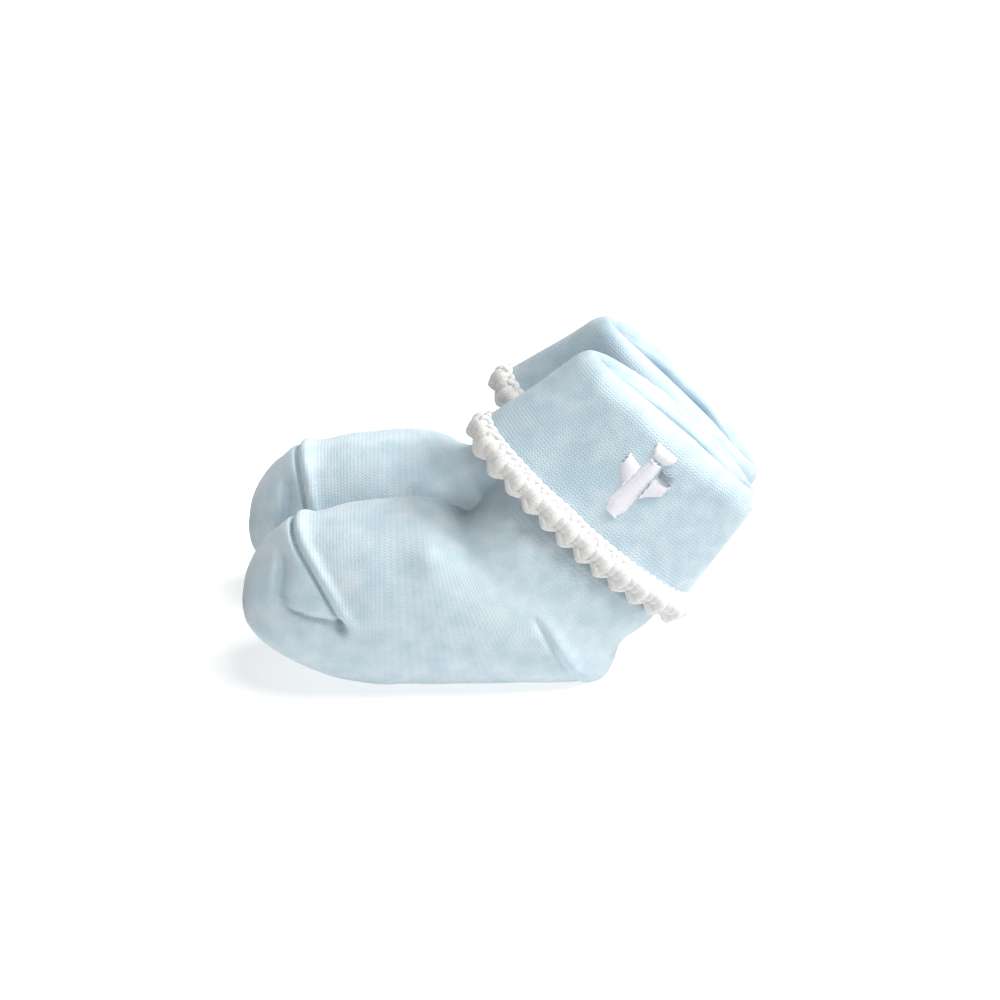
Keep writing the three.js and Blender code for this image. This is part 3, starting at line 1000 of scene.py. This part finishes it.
def makeEdging(bootie, finishes):
    edge = CuffEdge(bootie)
    yarn = finishes["yarn"]
    rowPaths, shellPaths = crochetRow(bootie, edge), shellStitches(bootie, edge)
    row = layStrands(bootie, "crochet_row", rowPaths, edging["rowRadius"], 8, yarn, 2)
    shells = layStrands(bootie, "crochet_scallops", shellPaths, edging["postRadius"], 8, yarn, 2)
    for piece, node in ((row, "_edging_row"), (shells, "_scallops")):
        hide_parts(bootie.side + node)
        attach(piece, bootie.leg)


# The toe seam's stitches, in millimetres, and how far they go either side of the top, in radians
seam = {
    "spacing": 1.05,
    "radius": 0.3,
    "reach": 0.75,
    "end": 1.78,
    "slant": 0.02,
    "ringSpacing": 7.0,
    "acrossReach": 17,
    "upReach": 20,
    "leastReach": 14,
}


def makeToeSeam(bootie, finishes):
    # Short slanting stitches across the groove, from the outer end over the toes to the inner end.
    paths = []
    angle = -seam["end"]
    while angle < seam["end"]:
        edge = toeEdge(bootie, angle)
        middle = knitPoint(bootie, edge, angle, 0)
        if middle.z > seamLine["endHeight"] - 0.5:
            path = []
            for k in (-1, -0.4, 0.4, 1):
                place = edge + k * seam["reach"] / seam["ringSpacing"]
                turned = angle + seam["slant"] * k
                plain = bootie.ringPoint(bootie.tubeRing(place), turned)
                lifted = knitPoint(bootie, place, turned, plain.x - seamX(bootie, plain))
                outward = (lifted - Vector((lifted.x, bootie.shifts[5], 22))).normalized()
                path.append((lifted + outward * (0.12 if abs(k) < 1 else -0.3), 1.0))
            paths.append((path, False))
        reach = seam["acrossReach"] * abs(cos(angle)) + seam["upReach"] * abs(sin(angle))
        angle += seam["spacing"] / max(seam["leastReach"], reach)
    piece = layStrands(bootie, "linked_toe_seam", paths, seam["radius"], 6, finishes["seam"], 2)
    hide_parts(bootie.side + "_toe_seam")
    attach(piece, bootie.foot)


# The elastic threads, at their places up the leg
elastic = {
    "places": {"lower_elastic": 6, "upper_elastic": 10},
    "radius": 0.42,
    "inset": -1.95,
    "windings": 90,
    "windingRadius": 0.3,
}


def makeElastics(bootie, finishes):
    for name, s in elastic["places"].items():
        core, wound = [], []
        steps = elastic["windings"] * 4
        for i in range(steps):
            angle, turn = 2 * pi * i / steps, pi / 2 * i
            inset = elastic["inset"]
            core.append((bootie.ringPoint(bootie.legRing(s, inset, inset, inset), angle), 0.75))
            out = inset + elastic["windingRadius"] * cos(turn)
            up = s + elastic["windingRadius"] * sin(turn)
            wound.append((bootie.ringPoint(bootie.legRing(up, out, out, out), angle), 0.4))
        strands = [(core[::4], True), (wound, True)]
        piece = layStrands(bootie, name + "_thread", strands, elastic["radius"], 6, finishes["elastic"], 1)
        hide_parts(bootie.side + "_" + name)
        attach(piece, bootie.leg)


# The stitched aeroplane, in millimetres and degrees
motif = {
    "belowFold": 3.2,
    "length": 21,
    "span": 14,
    "forward": 1.2,
    "turn": -6.5,
    "threadSpacing": 0.3,
    "threadRadius": 0.2,
    "padding": 0.55,
}
# Outlines with the nose down, in halves of the span and of the length, and which way each one's threads run
motifShapes = {
    "plane_body": (
        [
            (-0.26, 0.62),
            (-0.4, -0.2),
            (-0.42, -0.7),
            (-0.24, -0.97),
            (0.24, -0.97),
            (0.42, -0.7),
            (0.4, -0.2),
            (0.26, 0.62),
        ],
        12,
    ),
    "plane_upper_wing": ([(-0.41, -0.3), (-0.98, 0.06), (-0.98, 0.4), (-0.33, 0.34)], 78),
    "plane_lower_wing": ([(0.41, -0.3), (0.33, 0.34), (0.98, 0.4), (0.98, 0.06)], 102),
    "plane_tail": (
        [(-0.26, 0.66), (0.26, 0.66), (0.46, 0.84), (0.44, 0.99), (-0.44, 0.99), (-0.46, 0.84)],
        90,
    ),
    "plane_wing_shade": ([(0.34, 0.38), (0.98, 0.44), (0.88, 0.64), (0.31, 0.58)], 20),
}


def onCuff(bootie, flat, out):
    # The point of the flap's outer face that lies at a place in the side view, and out from it.
    legAxes = Matrix((bootie.upLeg, bootie.backLeg)).transposed().inverted()
    s, back = legAxes @ (flat - bootie.hinge)
    s -= form["hingeBelowAnkle"]
    half = form["legWidth"] / 2 + form["cuffStandoff"]
    for approach in range(8):
        k = clamp(-back / half, -0.98, 0.98)
        power = cuff["squareness"] / 2
        angle = atan2(sqrt(1 - abs(k) ** (2 * power)), bend(k, power))
        point = cuffPoint(bootie, s, out, out, angle)
        moveUp, moveBack = legAxes @ (flat - Vector((point.x, point.z)))
        s += moveUp
        back += moveBack
    return point


def crossings(outline, origin, direction):
    # Where a line crosses an outline, in order along the line.
    found = []
    normal = Vector((-direction.y, direction.x))
    for a, b in zip(outline, outline[1:] + outline[:1]):
        before, after = (a - origin).dot(normal), (b - origin).dot(normal)
        if (before <= 0) != (after <= 0):
            found.append((a.lerp(b, before / (before - after)) - origin).dot(direction))
    return sorted(found)


def makeMotif(bootie, finishes):
    up = Matrix.Rotation(radians(motif["turn"]), 2) @ bootie.upLeg
    back = Vector((up.y, -up.x))
    middle = bootie.onLeg(form["legLength"] - motif["belowFold"] - motif["length"] / 2, -motif["forward"])
    for name, (corners, heading) in motifShapes.items():
        outline = [Vector((x * motif["span"] / 2, y * motif["length"] / 2)) for x, y in corners]
        direction = Vector((cos(radians(heading)), sin(radians(heading))))
        normal = Vector((-direction.y, direction.x))
        offsets = [corner.dot(normal) for corner in outline]
        paths = []
        offset = min(offsets) + motif["threadSpacing"] / 2
        while offset < max(offsets):
            found = crossings(outline, normal * offset, direction)
            for start, end in zip(found[::2], found[1::2]):
                ragged = 0.18 * noise.noise(Vector((offset * 7.3, start, 1.5)))
                path = []
                for i in range(7):
                    t = i / 6
                    place = normal * offset + direction * mix(start - 0.15 + ragged, end + 0.15 + ragged, t)
                    rise = motif["padding"] * sin(pi * t) ** 0.45 if 0 < i < 6 else -0.35
                    path.append((onCuff(bootie, middle + back * place.x + up * place.y, rise), 1.0))
                paths.append((path, False))
            offset += motif["threadSpacing"]
        kind = "greyThread" if name == "plane_wing_shade" else "whiteThread"
        piece = layStrands(bootie, name + "_stitches", paths, motif["threadRadius"], 6, finishes[kind], 1)
        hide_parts(bootie.side + "_" + name)
        "grey_thread" if kind == "greyThread" else "white_thread"
        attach(piece, bootie.leg)


setCamera()
setLight()
layFloor()
print("studio ready")

finishes = {
    "knit": knitFinish("fine_knit", shade=0.0, mottling=3.0),
    # the cuff's copy carries painted shade over its whole face, besides its stronger mottling
    "cuffKnit": knitFinish("brushed_cuff_knit_painted_shade", shade=0.26, mottling=4.5),
    "seam": fibreFinish("linking_yarn"),
    "yarn": fibreFinish("white_cotton_yarn"),
    "elastic": fibreFinish("covered_elastic"),
    "backing": fibreFinish("non_woven_backing"),
    "whiteThread": fibreFinish("white_embroidery_thread"),
    "greyThread": fibreFinish("grey_embroidery_thread"),
}
print("finishes ready")

# The second number is the leg's extra lean in degrees, the pair the fold's crown on its outer and inner side.
booties = [Bootie("left", 0, (1.4, 2.8)), Bootie("right", 4, (3.8, 1.6))]
for bootie in booties:
    knitTube(bootie, finishes)
    makeToeSeam(bootie, finishes)
    makeElastics(bootie, finishes)
    makeCuff(bootie, finishes)
    makeEdging(bootie, finishes)
    makeMotif(bootie, finishes)
    backing = frame["nodes"][bootie.side + "_embroidery_backing"].data
    backing.materials.clear()
    backing.materials.append(finishes["backing"])
    print(bootie.side, "bootie made")
